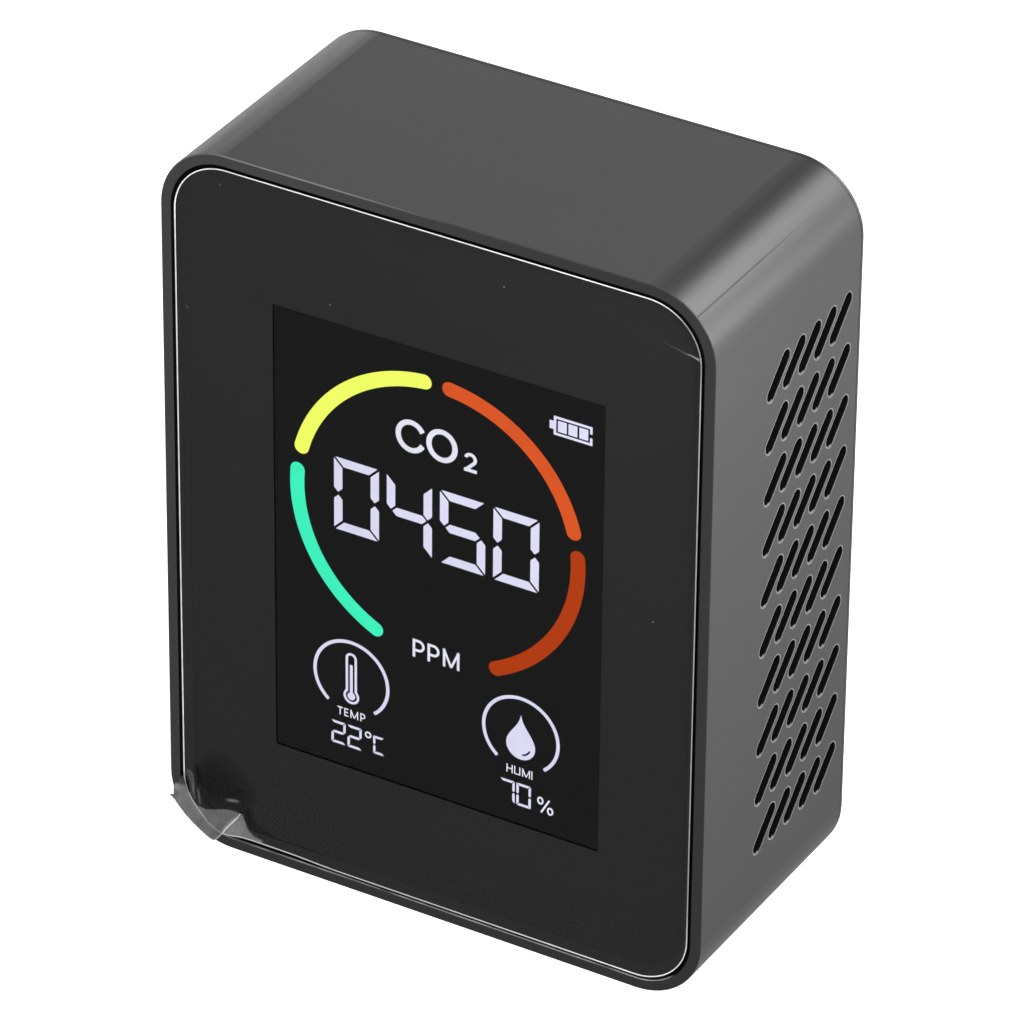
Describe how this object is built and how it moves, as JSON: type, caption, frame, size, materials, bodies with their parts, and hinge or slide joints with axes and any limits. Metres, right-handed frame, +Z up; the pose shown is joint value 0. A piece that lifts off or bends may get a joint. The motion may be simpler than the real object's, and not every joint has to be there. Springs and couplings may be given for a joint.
{
  "type": "carbon dioxide monitor",
  "caption": "Upright desk-top air monitor: a deep rounded housing with side vents, a flat bordered display, and a rear power button and charging socket.",
  "frame": {"origin": "under the middle of the housing, on the surface that it stands on", "axes": "+Z up, the display faces -Y, +X to the right as seen from the front"},
  "size_m": [0.068, 0.0326, 0.089],
  "materials": {
    "housing_abs": "fine spark-eroded satin grain",
    "cover_abs": "fine spark-eroded satin grain",
    "button_abs": "satin",
    "lens_clear": "clear hard-coated acrylic",
    "mask_ink": "black screen-printed ink behind the lens",
    "lens_tape": "black double-sided foam tape",
    "film_clear": "clear protective film",
    "tab_clear": "clear pull tab, slightly milky",
    "panel_black": "dark display panel",
    "segment_white": "lit white segments",
    "segment_yellow": "lit yellow filter",
    "segment_orange": "lit orange filter",
    "segment_red": "lit deep orange filter",
    "segment_green": "lit green filter",
    "guide_white": "white light guide",
    "tray_steel": "stamped steel tray",
    "retainer_abs": "black frame",
    "flex_amber": "polyimide flat cable",
    "board_green": "solder mask over woven laminate",
    "sensor_board_black": "black solder mask",
    "chip_black": "moulded package",
    "component_mixed": "chip components",
    "connector_ivory": "nylon",
    "connector_black": "nylon",
    "sensor_black": "moulded optical chamber",
    "sensor_white": "porous membrane",
    "pin_brass": "gold-plated pins",
    "battery_foil": "laminated foil pouch",
    "foam_tape": "foam tape",
    "lead_red": "silicone insulation",
    "lead_black": "silicone insulation",
    "screw_steel": "black zinc plate",
    "shell_steel": "nickel-plated shell",
    "switch_black": "moulded switch"
  },
  "bodies": {
    "case": {"housing": "housing_abs", "rear_cover": "cover_abs", "case_screws": "screw_steel", "front_lens": "lens_clear", "lens_mask": "mask_ink", "lens_adhesive": "lens_tape", "screen_film": "film_clear", "film_pull_tab": "tab_clear", "gauge_orange": "segment_orange", "gauge_yellow": "segment_yellow", "gauge_green": "segment_green", "gauge_red": "segment_red", "lit_numerals": "segment_white", "lit_labels": "segment_white", "lit_icons": "segment_white", "lcd_glass": "panel_black", "lcd_backlight": "guide_white", "lcd_frame": "tray_steel", "lcd_retainer": "retainer_abs", "retainer_screws": "screw_steel", "lcd_flex": "flex_amber", "main_board": "board_green", "board_screws": "screw_steel", "controller_chip": "chip_black", "small_components": "component_mixed", "flex_connector": "connector_ivory", "temp_humidity_sensor": "chip_black", "co2_sensor_board": "sensor_board_black", "co2_chamber": "sensor_black", "co2_filters": "sensor_white", "sensor_header_pins": "pin_brass", "sensor_header_strips": "connector_black", "battery_cell": "battery_foil", "battery_tape": "foam_tape", "battery_lead_red": "lead_red", "battery_lead_black": "lead_black", "battery_socket": "connector_ivory", "battery_plug": "connector_ivory", "usb_socket": "shell_steel", "usb_contacts": "connector_black", "tact_switch": "switch_black"},
    "button": {"power_button": "button_abs", "switch_plunger": "switch_black"}
  },
  "joints": [
    {"name": "power_button_press", "type": "slide", "parent": "case", "child": "button", "axis": [0, -1, 0], "range_m": [0, 0.0005], "stiffness_N_per_m": 2000}
  ]
}
